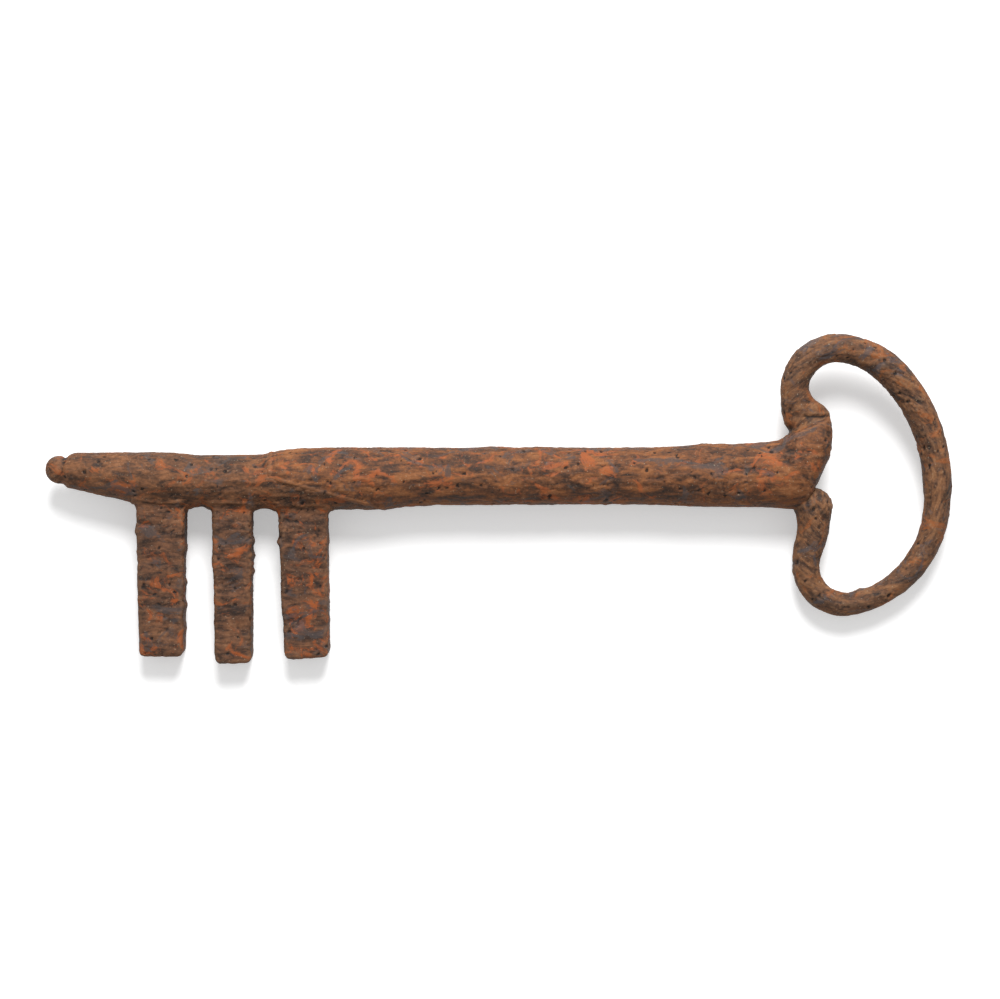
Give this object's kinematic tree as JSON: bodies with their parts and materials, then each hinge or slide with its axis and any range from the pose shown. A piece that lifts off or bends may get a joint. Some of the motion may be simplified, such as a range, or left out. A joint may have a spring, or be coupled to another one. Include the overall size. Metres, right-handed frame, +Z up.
{
  "type": "door key",
  "caption": "Large forged iron key: round shank, comb bit of long blunt teeth, tapered pin with a ball tip, kidney-shaped bow welded on the head.",
  "frame": {"origin": "centre of the key's outline, on the table that it lies on", "axes": "+X from the pin's tip to the bow, +Z up from the table; the teeth point to -Y"},
  "size_m": [0.2268, 0.0826, 0.0158],
  "materials": {
    "rusted_bit_bar": "dark brown rust with grey scale",
    "rusted_teeth": "pitted brown rust with orange patches",
    "rusted_shank": "orange-brown rust",
    "rusted_bow": "worn brown rust"
  },
  "bodies": {
    "root": {"bit_bar": "rusted_bit_bar", "bit_tooth_front": "rusted_teeth", "bit_tooth_middle": "rusted_teeth", "bit_tooth_rear": "rusted_teeth", "shank": "rusted_shank", "bow": "rusted_bow"}
  },
  "joints": []
}
